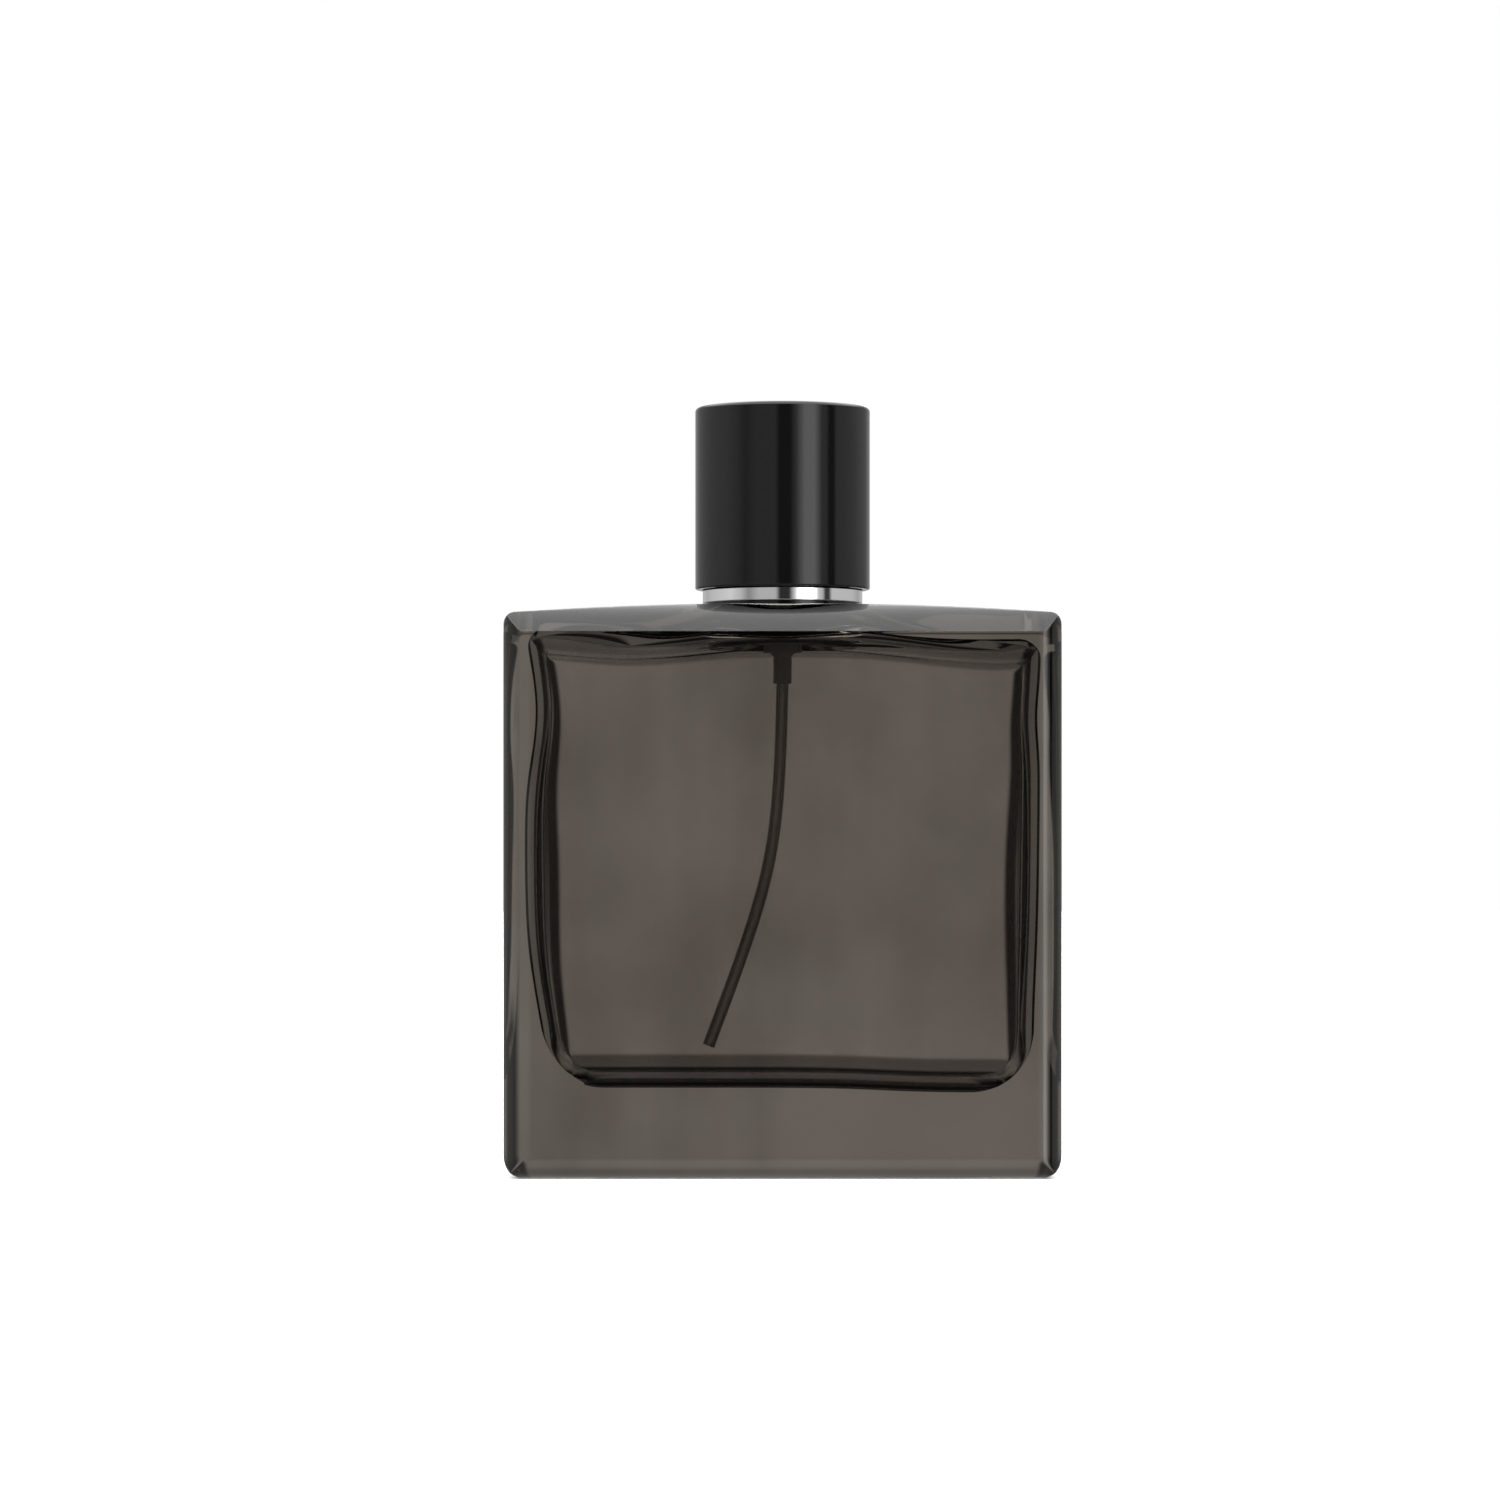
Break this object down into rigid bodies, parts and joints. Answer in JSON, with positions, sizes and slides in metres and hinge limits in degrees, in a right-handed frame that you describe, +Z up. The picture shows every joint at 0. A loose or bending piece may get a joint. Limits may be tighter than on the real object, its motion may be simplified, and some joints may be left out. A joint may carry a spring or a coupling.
{
  "type": "spray bottle",
  "caption": "Square thick-walled smoke glass aftershave bottle with a crimped mist pump, curved dip tube, bright collar and black pull-off cap.",
  "frame": {"origin": "centre of the base, on the surface the bottle stands on", "axes": "+Z up along the neck and the pump, the nozzle looks along -Y, +X across the wide front"},
  "size_m": [0.08, 0.033, 0.1115],
  "materials": {
    "smoke_glass": "polished clear glass with a translucent smoke-grey lacquer outside",
    "black_cap": "high-gloss black",
    "cap_liner_plastic": "moulded satin",
    "bright_collar": "bright polished",
    "black_collar": "gloss black",
    "crimp_aluminium": "plain drawn aluminium",
    "bright_button": "bright anodised",
    "button_core": "moulded",
    "nozzle_plastic": "moulded",
    "pump_plastic": "natural milky polypropylene",
    "tube_plastic": "translucent polyethylene",
    "seal_rubber": "soft",
    "spring_steel": "drawn stainless wire"
  },
  "bodies": {
    "root": {"glass_bottle": "smoke_glass", "neck_gasket": "seal_rubber", "crimp_ferrule": "crimp_aluminium", "pump_housing": "pump_plastic", "pump_closure": "pump_plastic", "stem_gasket": "seal_rubber", "return_spring": "spring_steel", "ball_cage": "pump_plastic", "dip_tube": "tube_plastic", "collar_base": "black_collar", "collar_ring": "bright_collar"},
    "plunger": {"stem": "pump_plastic", "piston": "pump_plastic", "poppet_spring": "spring_steel"},
    "poppet": {"outlet_poppet": "spring_steel"},
    "ball": {"inlet_ball": "spring_steel"},
    "button": {"actuator_body": "button_core", "actuator_shell": "bright_button", "nozzle_insert": "nozzle_plastic"},
    "cap": {"cap_shell": "black_cap", "cap_liner": "cap_liner_plastic"}
  },
  "joints": [
    {"name": "cap_pull", "type": "slide", "parent": "root", "child": "cap", "axis": [0, 0, 1], "range_m": [0, 0.035]},
    {"name": "button_press", "type": "slide", "parent": "root", "child": "plunger", "axis": [0, 0, -1], "range_m": [0, 0.0036], "stiffness_N_per_m": 1600, "springref_m": -0.0018, "deforming": ["return_spring"]},
    {"name": "button_turn", "type": "hinge", "parent": "plunger", "child": "button", "pos_m": [0, 0, 0.1], "axis": [0, 0, 1], "continuous": true},
    {"name": "poppet_lift", "type": "slide", "parent": "plunger", "child": "poppet", "axis": [0, 0, 1], "range_m": [0, 0.0005], "stiffness_N_per_m": 400, "springref_m": -0.001, "deforming": ["poppet_spring"]},
    {"name": "ball_lift", "type": "slide", "parent": "root", "child": "ball", "axis": [0, 0, 1], "range_m": [0, 0.0005]}
  ]
}
